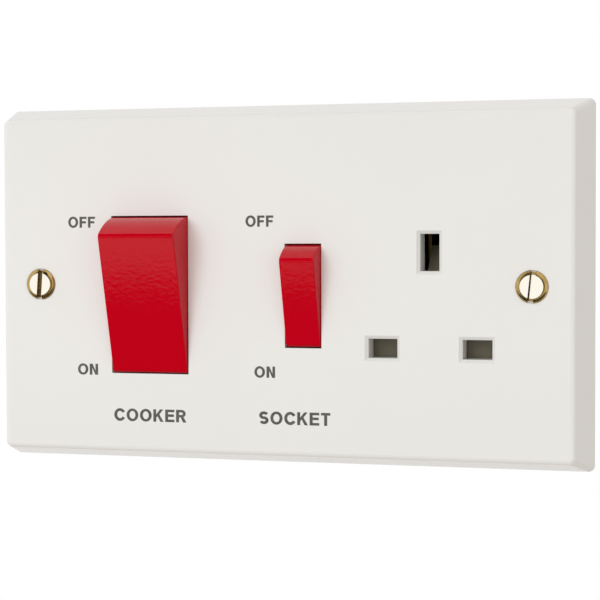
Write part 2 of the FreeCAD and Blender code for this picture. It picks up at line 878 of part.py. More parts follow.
def terminals():
    supply_low, load_low = terminal_start, -terminal_end
    line_blocks = (
        ("live_supply_terminal", live_terminal, supply_low),
        ("neutral_supply_terminal", neutral_terminal, supply_low),
        ("live_load_terminal", live_terminal, load_low),
        ("neutral_load_terminal", neutral_terminal, load_low),
    )
    for label, x, low in line_blocks:
        terminal(label, x, low, d.terminal_width, d.terminal_bore, [x])
        CABLES.append((x, low + d.terminal_length / 2, d.terminal_bore))
    earth_bores = [socket_middle + side * d.earth_bore_spacing / 2 for side in (-1, 1)]
    terminal(
        "earth_terminal", socket_middle, supply_low,
        d.earth_terminal_width, d.earth_bore, earth_bores,
    )
    CABLES.extend((x, supply_low + d.terminal_length / 2, d.earth_bore) for x in earth_bores)
    screws = [
        slotted_screw(
            f"terminal_screw_{number}", x, z,
            bore_place + bore / 2 + d.clamp_tip_gap, floor + d.clamp_lift,
            d.clamp_screw, d.clamp_head, d.clamp_head_height,
        )
        for number, (x, z, bore) in enumerate(CABLES, start=1)
    ]
    group("terminal_screws", screws)


def rear_base():
    """A tray whose rim closes on the inside of the plate and whose posts meet the plate's posts."""
    base = Piece("rear_base")
    seat = -d.base_seat
    rim = inner + d.seat_gap
    base.add("XZ", rim, base_rear, centred(ZERO, ZERO, d.base_width, d.base_height))
    base.soften(d.base_corner, runs_in_depth)
    base.cut("XZ", rim, floor, centred(ZERO, ZERO, 2 * base_inside, 2 * terminal_end))

    rooted = floor + d.base_floor / 2
    base.add("XZ", seat, rooted, *[disc(x, z, d.post) for x, z in CORNERS])
    # Ribs beside the terminal blocks, and between the two poles
    ribs = []
    rows = ((terminal_start, terminal_end), (-terminal_end, -terminal_start))
    between = (d.terminal_spacing - d.terminal_width) / 2 - d.rib_gap
    beside = (d.terminal_spacing + d.terminal_width) / 2 + d.rib_gap
    x = cooker_switch
    for low, high in rows:
        ribs.append(span(x - between, x + between, low, high))
        ribs.append(span(x - beside - d.rib, x - beside, low, high))
        ribs.append(span(x + beside, x + beside + d.rib, low, high))
    earth_side = d.earth_terminal_width / 2 + d.rib_gap
    low, high = rows[0]
    ribs.append(span(socket_middle - earth_side - d.rib, socket_middle - earth_side, low, high))
    ribs.append(span(socket_middle + earth_side, socket_middle + earth_side + d.rib, low, high))
    base.add("XZ", rib_front, rooted, *ribs)
    reach = d.seesaw_arm + d.rib
    barrier = centred(x, d.switch_height, d.rib, 2 * reach)
    base.add("XZ", d.seesaw_place - d.seesaw_rise - d.rib, rooted, barrier)
    rest_low = line_pin_height - d.socket_bar_drop + d.shutter_gap
    rest = span(
        socket_middle - d.shutter_rest / 2, socket_middle + d.shutter_rest / 2,
        rest_low, line_pin_height + d.shutter_travel,
    )
    base.add("XZ", seat, rooted, rest)

    # Screw holes through the posts, and notches in the sides that clear the fixing bosses
    notch = d.fixing_boss + 2 * d.base_notch_gap
    notches = [disc(x, ZERO, notch) for x in FIXINGS]
    shank = d.base_screw + 2 * d.rib_gap
    head = d.base_screw_head + 2 * d.rib_gap
    base.cut("XZ", rim - PAST, base_rear + PAST, *[disc(x, z, shank) for x, z in CORNERS], *notches)
    sunk = base_rear - d.base_screw_head_height
    base.cut("XZ", sunk, base_rear + PAST, *[disc(x, z, head) for x, z in CORNERS])
    # Wells over the clamp screws, and mouths for the cables
    well = d.clamp_head + d.well_margin
    base.cut("XZ", floor, base_rear + PAST, *[disc(x, z, well) for x, z, _ in CABLES])
    outer = d.base_height / 2 + PAST
    top = [disc(x, bore_place, bore + d.entry_margin) for x, z, bore in CABLES if z.value > 0]
    bottom = [disc(x, bore_place, bore + d.entry_margin) for x, z, bore in CABLES if z.value < 0]
    base.cut("XY", terminal_end, outer, *top)
    base.cut("XY", -outer, -terminal_end, *bottom)
    node(base)
    screws = [
        slotted_screw(
            f"base_screw_{number}", x, z,
            -d.base_seat - d.base_screw_grip, sunk,
            d.base_screw, d.base_screw_head, d.base_screw_head_height,
        )
        for number, (x, z) in enumerate(CORNERS, start=1)
    ]
    group("base_screws", screws)


def shutter():
    """A sliding T: a cover behind each line hole, and a ramp that the earth pin pushes down."""
    slide = Piece("shutter")
    half_stem = d.shutter_stem / 2
    ramp_foot = d.earth_pin_height - d.earth_hole_height / 2
    x = socket_middle
    slide.add(
        "XZ", shutter_front, shutter_rear,
        loop(
            (x - cover_across, cover_foot),
            (x + cover_across, cover_foot),
            (x + cover_across, cover_top),
            (x + half_stem, cover_top),
            (x + half_stem, ramp_foot),
            (x - half_stem, ramp_foot),
            (x - half_stem, cover_top),
            (x - cover_across, cover_top),
        ),
    )
    ramp = loop(
        (shutter_front, ramp_foot - d.ramp_root),
        (-d.ramp_back, ramp_foot - d.ramp_root),
        (-d.ramp_back, ramp_foot + d.ramp_rise),
        (shutter_front, ramp_foot),
    )
    slide.add("YZ", x - d.ramp_width / 2, x + d.ramp_width / 2, ramp)
    node(slide)


def shutter_spring():
    spring = Piece("shutter_spring")
    middle = (shutter_front + shutter_rear) / 2
    spring.place(socket_middle, middle, ledge_top, ABOUT_X, as_size(QUARTER_TURN))
    spring.coil(
        d.shutter_spring, d.shutter_spring_wire,
        d.seat_gap, cover_foot - ledge_top - d.seat_gap, d.shutter_spring_turns,
    )
    node(spring)


def switch_pole(name, place, face_rise):
    """The sprung plunger and the moving contact of one pole."""
    plunger(f"{name}_plunger", place)
    plunger_spring(f"{name}_spring", place, face_rise)
    seesaw(f"{name}_seesaw", place)
    node(contact_tip(f"{name}_moving_tip", place, arm_rear + d.tip_thickness))


def check():
    """Stops with the names of failed features, and of cuts that took nothing away."""
    failed = [o.Label for o in doc.Objects if {"Invalid", "Error"} & set(o.State)]
    for feature in doc.Objects:
        base = getattr(feature, "BaseFeature", None)
        if base and feature.TypeId != "PartDesign::Body":
            gained = feature.Shape.Volume - base.Shape.Volume
            takes = feature.TypeId in ("PartDesign::Pocket", "PartDesign::SubtractiveLoft")
            gives = feature.TypeId in ("PartDesign::Pad", "PartDesign::AdditiveLoft")
            if (takes and gained > -SLACK) or (gives and gained < SLACK):
                failed.append(f"{feature.Label} changed nothing")
    failed += [o.Label for o in nodes if o.Shape.isNull() or not o.Shape.isValid()]
    if failed:
        raise RuntimeError("not built: " + ", ".join(failed))


front_plate()
left_screw = fixing_screw("fixing_screw_left", FIXINGS[0], d.left_slot_lean)
right_screw = fixing_screw("fixing_screw_right", FIXINGS[1], d.right_slot_lean)
group("fixing_screws", [left_screw, right_screw])
cooker_poles = [d.pole_spacing / 2, -d.pole_spacing / 2]
rocker(
    "cooker_rocker", cooker_switch,
    d.cooker_opening_width, d.cooker_opening_height, d.cooker_face_rise, cooker_poles,
)
rocker(
    "socket_rocker", socket_switch,
    d.socket_opening_width, d.socket_opening_height, d.socket_face_rise, [ZERO],
)
switch_pole("cooker_live", cooker_live, d.cooker_face_rise)
switch_pole("cooker_neutral", cooker_neutral, d.cooker_face_rise)
switch_pole("socket", socket_switch, d.socket_face_rise)
fixed_places = (cooker_live, cooker_neutral, socket_switch)
fixed_tips = [
    contact_tip(f"fixed_contact_tip_{number}", place, strip_front)
    for number, place in enumerate(fixed_places, start=1)
]
group("fixed_contact_tips", fixed_tips)
live_supply_bar()
neutral_supply_bar()
load_bracket("live_load_bracket", cooker_live)
load_bracket("neutral_load_bracket", cooker_neutral)
socket_live_bar()
earth_strap()
terminals()
rear_base()
shutter()
shutter_spring()

doc.recompute()
check()
os.makedirs("parts", exist_ok=True)
for item in nodes:
    item.Shape.exportStep(f"parts/{item.Label}.step")
print(f"{len(nodes)} sub-parts written")
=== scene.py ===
# %% [markdown]
# # A cooker control unit
# This lesson dresses a finished engineering model: a white wall plate with a wide red cooker switch,
# a narrow red socket switch and a three-pin socket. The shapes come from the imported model, so what is
# left for us is the studio, the finishes, the printed words and the small turned and moulded details.
# Everything is in metres, and the front of the plate faces -Y.

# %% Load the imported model
import json
import math

import bpy
from mathutils import Matrix, Vector

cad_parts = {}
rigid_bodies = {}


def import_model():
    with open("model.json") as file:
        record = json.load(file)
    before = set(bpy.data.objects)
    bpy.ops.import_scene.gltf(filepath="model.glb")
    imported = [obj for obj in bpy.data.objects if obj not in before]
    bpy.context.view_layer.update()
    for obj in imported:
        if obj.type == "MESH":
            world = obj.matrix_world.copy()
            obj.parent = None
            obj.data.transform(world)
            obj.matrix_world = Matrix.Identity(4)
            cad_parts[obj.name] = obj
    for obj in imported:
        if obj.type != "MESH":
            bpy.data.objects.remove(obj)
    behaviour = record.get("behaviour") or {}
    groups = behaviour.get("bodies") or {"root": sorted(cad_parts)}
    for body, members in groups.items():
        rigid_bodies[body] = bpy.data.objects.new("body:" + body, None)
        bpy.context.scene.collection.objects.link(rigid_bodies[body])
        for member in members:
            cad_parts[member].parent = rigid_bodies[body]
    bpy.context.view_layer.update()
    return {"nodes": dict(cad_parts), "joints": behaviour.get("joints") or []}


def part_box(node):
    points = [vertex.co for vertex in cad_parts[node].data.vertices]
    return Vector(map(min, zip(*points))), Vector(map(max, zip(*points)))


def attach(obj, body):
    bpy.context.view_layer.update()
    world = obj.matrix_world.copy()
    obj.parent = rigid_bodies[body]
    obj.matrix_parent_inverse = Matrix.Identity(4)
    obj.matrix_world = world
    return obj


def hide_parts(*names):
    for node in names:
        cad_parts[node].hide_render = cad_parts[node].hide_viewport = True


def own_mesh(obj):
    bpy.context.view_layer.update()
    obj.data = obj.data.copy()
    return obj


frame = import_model()
nodes = frame["nodes"]

# %% [markdown]
# ## Places to measure from
# A printed word must lie on the plate and a screw must fill its hole, so their places are read from the
# model's own pieces instead of being typed in twice. Small sizes are easier to read in millimetres.

# %% Read the plate's faces
MM = 0.001
plate_low, plate_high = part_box("front_plate")
front_face = plate_low.y
rear_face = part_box("rear_base")[1].y
print(f"front face at y = {front_face / MM:.2f} mm, tray's rear at y = {rear_face / MM:.2f} mm")


# %% [markdown]
# ## The camera
# The photographer stood a little to the right of the unit and almost level with it, with a long lens, so
# the plate's upright edges stay nearly parallel. The camera is placed by angles around a target point on
# the wall, the way one walks round a table, and then rolled by a hair. Blender takes the lens and its
# sensor in millimetres.

# %% Set up the camera
AZIMUTH = math.radians(16.65)
ELEVATION = math.radians(2.11)
ROLL = math.radians(-0.17)
CAMERA_DISTANCE = 440.7 * MM
NEAREST_SEEN = 10 * MM
TARGET = Vector((2.12, 0, -3.84)) * MM
LENS = 109.76
SENSOR = 36


def direction(azimuth, elevation):
    """The way from the unit to a place in front of it, with azimuth to the right and elevation upwards."""
    return Vector((
        math.sin(azimuth) * math.cos(elevation),
        -math.cos(azimuth) * math.cos(elevation),
        math.sin(elevation),
    ))


back = direction(AZIMUTH, ELEVATION)
level = Vector((math.cos(AZIMUTH), math.sin(AZIMUTH), 0))
upright = back.cross(level)
right = math.cos(ROLL) * level + math.sin(ROLL) * upright
up = back.cross(right)

bpy.ops.object.select_all(action="DESELECT")
bpy.ops.object.camera_add()
camera = bpy.context.object
camera.name = "camera"
turn = Matrix((right, up, back)).transposed()
camera.matrix_world = Matrix.Translation(TARGET + back * CAMERA_DISTANCE) @ turn.to_4x4()
camera.data.lens = LENS
camera.data.sensor_width = SENSOR
camera.data.clip_start = NEAREST_SEEN
bpy.context.scene.camera = camera
bpy.context.scene.view_settings.view_transform = "Standard"
print(f"camera at {[round(v / MM, 1) for v in camera.location]} mm")


# %% [markdown]
# ## Shader maths in plain Python
# A node tree is a formula drawn as boxes. To keep it readable as a formula, a small class wraps a
# socket, so that `0.2 + 0.1 * noise` adds the Math nodes by itself. A second class owns the tree and has
# one method for every other node: its type, its settings, and what goes into its sockets.

# %% Wrap sockets and node trees
class Socket:
    """An output of a node, which adds Math nodes when it is used in a sum."""

    def __init__(self, tree, output):
        self.tree = tree
        self.output = output

    def maths(self, operation, first, second):
        return self.tree.node("ShaderNodeMath", {"operation": operation}, {0: first, 1: second})

    def __add__(self, other):
        return self.maths("ADD", self, other)

    def __radd__(self, other):
        return self.maths("ADD", other, self)

    def __sub__(self, other):
        return self.maths("SUBTRACT", self, other)

    def __rsub__(self, other):
        return self.maths("SUBTRACT", other, self)

    def __mul__(self, other):
        return self.maths("MULTIPLY", self, other)

    def __rmul__(self, other):
        return self.maths("MULTIPLY", other, self)


class Tree:
    """A node tree that is built from Python values and sockets."""

    def __init__(self, owner):
        owner.use_nodes = True
        self.nodes = owner.node_tree.nodes
        self.links = owner.node_tree.links

    def node(self, kind, settings=None, inputs=None, output=0):
        made = self.nodes.new(kind)
        for name, value in (settings or {}).items():
            if name == "stops":
                self.set_stops(made.color_ramp.elements, value)
            else:
                setattr(made, name, value)
        for name, value in (inputs or {}).items():
            self.feed(made.inputs[name], value)
        return Socket(self, made.outputs[output])

    def feed(self, socket, value):
        if isinstance(value, Socket):
            self.links.new(value.output, socket)
        else:
            socket.default_value = value

    def blend(self, factor, first, second):
        """From the first colour at 0 to the second at 1."""
        colours = {0: factor, 6: with_alpha(first), 7: with_alpha(second)}
        return self.node("ShaderNodeMix", {"data_type": "RGBA"}, colours, output=2)

    @staticmethod
    def set_stops(elements, stops):
        """Each stop is a place from 0 to 1 and a grey level."""
        for element, (place, grey) in zip(elements, stops):
            element.position = place
            element.color = (grey, grey, grey, 1)


def with_alpha(colour):
    """A colour with its alpha, unless it is already a socket."""
    return colour if isinstance(colour, Socket) else (*colour, 1)


print("sockets add, subtract and multiply")


# %% [markdown]
# ## Finishes as small recipes
# Each finish is a Principled shader with a few textures in front of it. The recipes share a few helpers: a
# noise, a soft threshold, a place along an axis, a number without its sign, and a bump. The noise and the
# place read Object coordinates, which are in metres. So one unit of noise scale is one wave in a metre, and
# a scale of 1000 gives grains of a millimetre.

# %% Helpers for the finishes
SHADER_SOCKETS = {
    "base_color": "Base Color",
    "metallic": "Metallic",
    "roughness": "Roughness",
    "specular": "Specular IOR Level",
    "normal": "Normal",
    "alpha": "Alpha",
}


class Finish(Tree):
    """A procedural material of the object."""

    def __init__(self, name):
        self.material = bpy.data.materials.new(f"finish_{name}")
        super().__init__(self.material)
        self.shader = self.nodes["Principled BSDF"]
        self.place = self.node("ShaderNodeTexCoord", output="Object")

    def noise(self, scale, detail=2.0, stretch=(1, 1, 1)):
        place = self.node("ShaderNodeMapping", inputs={"Vector": self.place, "Scale": stretch})
        return self.node("ShaderNodeTexNoise", inputs={"Vector": place, "Scale": scale, "Detail": detail})

    def threshold(self, value, low, high):
        return self.node("ShaderNodeValToRGB", {"stops": ((low, 0), (high, 1))}, {"Fac": value})

    def along(self, axis):
        """The place along X, Y or Z, in metres."""
        return self.node("ShaderNodeSeparateXYZ", inputs={"Vector": self.place}, output=axis)

    def size(self, value):
        """The value without its sign."""
        return self.node("ShaderNodeMath", {"operation": "ABSOLUTE"}, {0: value})

    def bump(self, height, strength, depth):
        relief = {"Height": height, "Strength": strength, "Distance": depth}
        return self.node("ShaderNodeBump", inputs=relief)

    def set(self, **sockets):
        """Feeds the shader. A socket's name is written in small letters with underscores."""
        for name, value in sockets.items():
            self.feed(self.shader.inputs[SHADER_SOCKETS[name]], value)
        return self.material


print(f"a finish can feed {', '.join(SHADER_SOCKETS)}")


# %% [markdown]
# ## Moulded plastics
# The plate is hard white moulding with a high gloss, so its colour wanders only slightly and its bump is a
# fine orange peel. The rockers are glossier still, but their tool was textured, and that breaks up the
# edge of each reflection. Their sides slid along the tool and came out dull, so the roughness is higher
# there. Neither is a flat colour: even a clean moulding has faint flow clouds.

# %% White plate and red rockers
# A rocker is dull up to the first distance from its side, in millimetres, and glossy from the second.
SIDE_DULL = 0.15
SIDE_GLOSSY = 0.3


def plate_white():
    finish = Finish("plate_white")
    clouds = finish.noise(28)
    film = finish.noise(320, 5)
    peel = finish.noise(1500, 3)
    return finish.set(
        base_color=finish.blend(clouds, (0.85, 0.858, 0.852), (0.825, 0.83, 0.822)),
        roughness=0.17 + 0.1 * film,
        normal=finish.bump(peel, 0.16, 0.012 * MM),
    )


def upright_sides(finish, node):
    """1 on the left and right sides of a rocker, and 0 on the rest of it and on other pieces."""
    proud = [vertex.co.x for vertex in nodes[node].data.vertices if vertex.co.y < front_face]
    left, right = min(proud), max(proud)
    from_middle = finish.size(finish.along("X") - (left + right) / 2)
    from_side = finish.size(from_middle - (right - left) / 2)
    return 1 - finish.threshold(from_side * (1 / MM), SIDE_DULL, SIDE_GLOSSY)


def rocker_red():
    finish = Finish("rocker_red")
    clouds = finish.noise(60)
    hide = finish.noise(1250, 2, stretch=(0.8, 1, 1))
    grain = finish.noise(4200, 2)
    sides = upright_sides(finish, "cooker_rocker") + upright_sides(finish, "socket_rocker")
    return finish.set(
        base_color=finish.blend(clouds, (0.57, 0.0, 0.012), (0.525, 0.0, 0.007)),
        roughness=0.05 + 0.05 * grain + 0.45 * sides,
        specular=0.28,
        normal=finish.bump(hide, 0.5, 0.042 * MM),
    )


plastics = {"plate_white": plate_white(), "rocker_red": rocker_red()}
print(f"made {', '.join(plastics)}")

# %% [markdown]
# ## The plastics that hide
# The shutter is a dull olive grey that shows only at the bottom of the pin holes. The tray is a brown-black
# thermoset whose filler leaves pale flecks, and the plungers are natural nylon, a little waxy.

# %% Shutter, tray and plungers
def shutter_grey():
    finish = Finish("shutter_grey")
    clouds = finish.noise(180, 4)
    grain = finish.noise(2600, 2)
    return finish.set(
        base_color=finish.blend(clouds, (0.16, 0.143, 0.1), (0.122, 0.108, 0.077)),
        roughness=0.48 + 0.16 * grain,
        normal=finish.bump(grain, 0.2, 0.02 * MM),
    )


def base_black():
    finish = Finish("base_black")
    flecks = finish.threshold(finish.noise(2300, 1), 0.66, 0.74)
    flow = finish.noise(70, 4, stretch=(1, 1, 2.5))
    ground = finish.blend(flow, (0.016, 0.0145, 0.013), (0.03, 0.026, 0.023))
    return finish.set(
        base_color=finish.blend(0.55 * flecks, ground, (0.11, 0.09, 0.07)),
        roughness=0.34 + 0.2 * flow,
        normal=finish.bump(finish.noise(900, 3), 0.22, 0.02 * MM),
    )


def plunger_nylon():
    finish = Finish("plunger_nylon")
    clouds = finish.noise(400, 3)
    return finish.set(
        base_color=finish.blend(clouds, (0.70, 0.67, 0.58), (0.62, 0.58, 0.48)),
        roughness=0.36 + 0.12 * clouds,
        normal=finish.bump(clouds, 0.15, 0.02 * MM),
    )


plastics |= {"shutter_grey": shutter_grey(), "base_black": base_black(), "plunger_nylon": plunger_nylon()}
print(f"{len(plastics)} plastics in all")

# %% [markdown]
# ## Metals
# Pressed and sawn brass has fine lines along the stroke and a brown bloom where hands and flux have been.
# A line is only a noise that is stretched in one direction. The bloom is a slow noise, used twice: it
# darkens the colour and dulls the gloss in the same spots. Silver, spring steel and zinc plate use the
# same recipe with other numbers, so one function makes them all.

# %% Brass, silver, steel and zinc
STROKE_SCALE = 1700
ALONG_X = (0.06, 1, 1)
ALONG_Z = (1, 1, 0.06)
EVEN = (1, 1, 1)


def metal(name, bright, bloomed, bloom_scale, gloss, lines, line_depth):
    finish = Finish(name)
    bloom = finish.threshold(finish.noise(bloom_scale, 5), 0.4, 0.72)
    strokes = finish.noise(STROKE_SCALE, 2, stretch=lines)
    return finish.set(
        base_color=finish.blend(bloom, bright, bloomed),
        metallic=1.0,
        roughness=gloss + 0.1 * strokes + 0.22 * bloom,
        normal=finish.bump(strokes, 0.2, line_depth),
    )


metals = {
    "brass": metal("brass", (0.72, 0.5, 0.2), (0.42, 0.26, 0.1), 130, 0.2, ALONG_Z, 0.006 * MM),
    "fixing_brass": metal(
        "fixing_brass", (0.6, 0.42, 0.15), (0.3, 0.18, 0.06), 240, 0.16, ALONG_X, 0.002 * MM
    ),
    "clamp_screw_brass": metal(
        "clamp_screw_brass", (0.74, 0.53, 0.23), (0.44, 0.28, 0.11), 260, 0.18, ALONG_X, 0.005 * MM
    ),
    "contact_silver": metal(
        "contact_silver", (0.82, 0.81, 0.78), (0.42, 0.39, 0.35), 500, 0.22, EVEN, 0.005 * MM
    ),
    "spring_steel": metal(
        "spring_steel", (0.5, 0.5, 0.51), (0.3, 0.28, 0.26), 600, 0.2, ALONG_Z, 0.003 * MM
    ),
    "screw_zinc": metal(
        "screw_zinc", (0.62, 0.63, 0.66), (0.46, 0.44, 0.38), 320, 0.24, ALONG_X, 0.004 * MM
    ),
}
print(f"made {', '.join(metals)}")

# %% [markdown]
# ## Dressing the loaded pieces
# Each loaded piece arrived with one plain material that carries the name of its slot, so the slot's name
# picks the finish. The pieces' meshes are left exactly as they came.

# %% Give every loaded piece its finish
finishes = plastics | metals
for piece in nodes.values():
    slot = piece.material_slots[0]
    slot.material = finishes[slot.material.name.split(".")[0]]
print(f"{len(nodes)} pieces dressed with {len(finishes)} finishes")


# %% [markdown]
# ## Working by hand, in code
# The new pieces are made with the same operators as in the viewport. An operator acts on whatever is
# selected, so a few helpers come first: one makes a piece the only selected one, one moves its place into
# its mesh and names it, one applies a modifier, and one works on the whole of its mesh in edit mode.

# %% Helpers for modelling
SMOOTH_ANGLE = math.radians(35)


def pick(piece):
    bpy.ops.object.select_all(action="DESELECT")
    piece.select_set(True)
    bpy.context.view_layer.objects.active = piece


def settle(piece, name, finish, body="unit"):
    """Applies the piece's place to its mesh, dresses it and lets it ride on a body."""
    pick(piece)
    bpy.ops.object.transform_apply(location=True, rotation=True, scale=True)
    piece.name = name
    piece.data.name = name
    piece.data.materials.clear()
    piece.data.materials.append(finish)
    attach(piece, body)


def apply_modifier(piece, kind, **settings):
    pick(piece)
    modifier = piece.modifiers.new(kind.lower(), kind)
    for name, value in settings.items():
        setattr(modifier, name, value)
    bpy.ops.object.modifier_apply(modifier=modifier.name)


def in_edit_mode(piece, *steps):
    """Runs operators on all of a piece's mesh."""
    pick(piece)
    bpy.ops.object.mode_set(mode="EDIT")
    bpy.ops.mesh.select_all(action="SELECT")
    for step in steps:
        step()
    bpy.ops.object.mode_set(mode="OBJECT")


bpy.ops.object.select_all(action="DESELECT")
print("nothing is selected, ready to model")

# %% [markdown]
# ## Printed words
# The plate carries plain words in dark grey: which end is on, and what each switch is for. They are
# printed on the plate in one thin coat of ink, which turns a little paler where fingers rub it. A noise
# finds the worn spots, and the same noise makes the ink a little rougher and less even.

# %% Ink
def legend_ink():
    finish = Finish("legend_ink")
    wear = finish.noise(900, 5)
    worn = finish.threshold(wear, 0.45, 0.85)
    return finish.set(
        base_color=finish.blend(worn, (0.1, 0.098, 0.09), (0.165, 0.162, 0.15)),
        roughness=0.4 + 0.2 * wear,
        normal=finish.bump(wear, 0.1, 0.01 * MM),
    )


ink = legend_ink()
print(f"made {ink.name}")

# %% [markdown]
# ### Letters
# The letters are bold and even in stroke. The built-in font is too light and too round for that, so each
# letter is drawn once, as flat outlines in a box one unit high. Two tools are enough: points on an
# ellipse, and a brush that turns a path into the outline of a stroke.

# %% Ellipses and brush strokes
STEM = 0.22
BAR = 0.2


def ellipse(x, y, across, up, first=0, last=360, steps=40):
    """Points on an ellipse, from one angle to another in degrees."""
    angles = [math.radians(first + (last - first) * step / steps) for step in range(steps + 1)]
    return [(x + across * math.cos(angle), y + up * math.sin(angle)) for angle in angles]


def brushed(path):
    """The outline of a stroke that follows a path."""
    left, right = [], []
    for number, (x, y) in enumerate(path):
        before = path[max(number - 1, 0)]
        after = path[min(number + 1, len(path) - 1)]
        along = Vector((after[0] - before[0], after[1] - before[1])).normalized() * STEM / 2
        left.append((x - along.y, y + along.x))
        right.append((x + along.y, y - along.x))
    return left + right[::-1]


print(f"upright strokes are {STEM} of a letter's height, level ones {BAR}")


# %% [markdown]
# ### Round letters
# An O is one ellipse inside another. It stands a little past the line at head and foot, as in most
# alphabets, or it would look too small beside the others. A C and an S are brushed along arcs that stop
# short at the mouth, and an R joins straight corners to a round bowl.

# %% Draw the round letters
HALF_HEIGHT = 0.5
ROUND_HALF_HEIGHT = 0.515
C_MOUTH = 30
S_MOUTH = 24


def letter_o(width=0.9):
    half = width / 2
    outer = ellipse(half, HALF_HEIGHT, half, ROUND_HALF_HEIGHT)
    inner = ellipse(half, HALF_HEIGHT, half - STEM, ROUND_HALF_HEIGHT - BAR)
    return [outer[:-1], inner[:-1]]


def letter_c(width=0.88):
    half, inset = width / 2, STEM / 2
    arc = ellipse(half, HALF_HEIGHT, half - inset, ROUND_HALF_HEIGHT - inset, C_MOUTH, 360 - C_MOUTH)
    return [brushed(arc)]


def letter_s(width=0.7):
    half, inset, bowl = width / 2, STEM / 2, (1 - STEM) / 4
    upper = ellipse(half, 1 - inset - bowl, half - inset, bowl, S_MOUTH, 270, steps=18)
    lower = ellipse(half, inset + bowl, half - inset, bowl, 90, S_MOUTH - 180, steps=18)
    return [brushed(upper + lower[1:])]


def letter_r(width=0.78, waist=0.4, bowl=0.3):
    turn, bowl_middle = width - 0.05 - bowl, (1 + waist) / 2
    rise = bowl_middle - waist
    leg = [(STEM, waist), (0.35, waist), (0.53, 0), (width, 0), (0.56, 0.44)]
    outer = [(0, 0), (STEM, 0), *leg, *ellipse(turn, bowl_middle, bowl, rise, -50, 90, steps=14), (0, 1)]
    hollow = ellipse(turn, bowl_middle, bowl - STEM, rise - BAR, -90, 90, steps=14)
    return [outer, [(STEM, waist + BAR), *hollow, (STEM, 1 - BAR)]]


LETTERS = {"C": letter_c(), "O": letter_o(), "R": letter_r(), "S": letter_s()}
print(f"drew the round letters {''.join(LETTERS)}")


# %% [markdown]
# ### Straight letters
# The others are drawn by their corners, anticlockwise from the foot on the left. The middle arms of E and
# F are a little shorter than the outer ones.

# %% Draw the straight letters
def letter_e(width=0.7, waist=0.52):
    low, high, arm = waist - BAR / 2, waist + BAR / 2, width - 0.04
    lower = [(0, 0), (width, 0), (width, BAR), (STEM, BAR), (STEM, low), (arm, low)]
    upper = [(arm, high), (STEM, high), (STEM, 1 - BAR), (width, 1 - BAR), (width, 1), (0, 1)]
    return [lower + upper]


def letter_f(width=0.64, waist=0.49):
    low, high, arm = waist - BAR / 2, waist + BAR / 2, width - 0.06
    lower = [(0, 0), (STEM, 0), (STEM, low), (arm, low)]
    upper = [(arm, high), (STEM, high), (STEM, 1 - BAR), (width, 1 - BAR), (width, 1), (0, 1)]
    return [lower + upper]


def letter_k(width=0.78):
    lower = [(0, 0), (STEM, 0), (STEM, 0.3), (0.32, 0.45), (0.54, 0), (width, 0), (0.46, 0.6)]
    upper = [(width - 0.02, 1), (0.51, 1), (STEM, 0.58), (STEM, 1), (0, 1)]
    return [lower + upper]


def letter_n(width=0.72):
    far = width - STEM
    lower = [(0, 0), (STEM, 0), (STEM, 0.64), (far - 0.02, 0), (width, 0)]
    upper = [(width, 1), (far, 1), (far, 0.36), (STEM + 0.02, 1), (0, 1)]
    return [lower + upper]


def letter_t(width=0.68):
    left, right = (width - STEM) / 2, (width + STEM) / 2
    stem = [(left, 0), (right, 0), (right, 1 - BAR)]
    top = [(width, 1 - BAR), (width, 1), (0, 1), (0, 1 - BAR), (left, 1 - BAR)]
    return [stem + top]


LETTERS |= {"E": letter_e(), "F": letter_f(), "K": letter_k(), "N": letter_n(), "T": letter_t()}
print(f"{len(LETTERS)} letters in all")


# %% [markdown]
# ### From outlines to a word
# A filled 2-D curve turns outlines into a flat solid, and leaves the hole in an O open by itself. The
# curve is made a mesh, its doubled points are merged, and it is then scaled to fill a box on the plate. A
# box for each word keeps its length right even where the spaces between real letters differ a little.

# %% Set a word
LETTER_GAP = 0.13
LETTER_WELD = 1e-6


def as_solid(word, weld):
    """Makes a flat curve or a text a closed mesh."""
    pick(word)
    bpy.ops.object.convert(target="MESH")
    bpy.ops.object.transform_apply(location=True, rotation=True, scale=True)
    in_edit_mode(
        word,
        lambda: bpy.ops.mesh.remove_doubles(threshold=weld),
        lambda: bpy.ops.mesh.normals_make_consistent(inside=False),
    )
    return word


def printed(text, thickness):
    """A word as a flat solid in the XZ plane, with its letters side by side."""
    curve = bpy.data.curves.new("word", "CURVE")
    curve.dimensions = "2D"
    curve.fill_mode = "BOTH"
    curve.extrude = thickness / 2
    pen = 0
    for letter in text:
        for outline in LETTERS[letter]:
            spline = curve.splines.new("POLY")
            spline.points.add(len(outline) - 1)
            for point, (x, y) in zip(spline.points, outline):
                point.co = (pen + x, y, 0, 1)
            spline.use_cyclic_u = True
        pen += max(x for x, _ in LETTERS[letter][0]) + LETTER_GAP
    word = bpy.data.objects.new("word", curve)
    bpy.context.scene.collection.objects.link(word)
    word.rotation_euler.x = math.pi / 2
    return as_solid(word, LETTER_WELD)


def fit(piece, left, right, foot, top, face):
    """Scales and moves a flat piece so that it fills a box in X and Z on a face at right angles to Y."""
    corners = [Vector(corner) for corner in piece.bound_box]
    low = Vector(min(corner[axis] for corner in corners) for axis in range(3))
    high = Vector(max(corner[axis] for corner in corners) for axis in range(3))
    piece.scale = ((right - left) / (high.x - low.x), 1, (top - foot) / (high.z - low.z))
    piece.location = (left - low.x * piece.scale.x, face, foot - low.z * piece.scale.z)
    pick(piece)
    bpy.ops.object.transform_apply(location=True, rotation=True, scale=True)


print(f"words can be set, with gaps of {LETTER_GAP} between letters")

# %% [markdown]
# ### The six words
# Each word has its text and its box on the plate, in millimetres: left, right, foot and top. The solid is
# twice as thick as the ink stands proud, because half of it is sunk in the plate, so no gap can show.

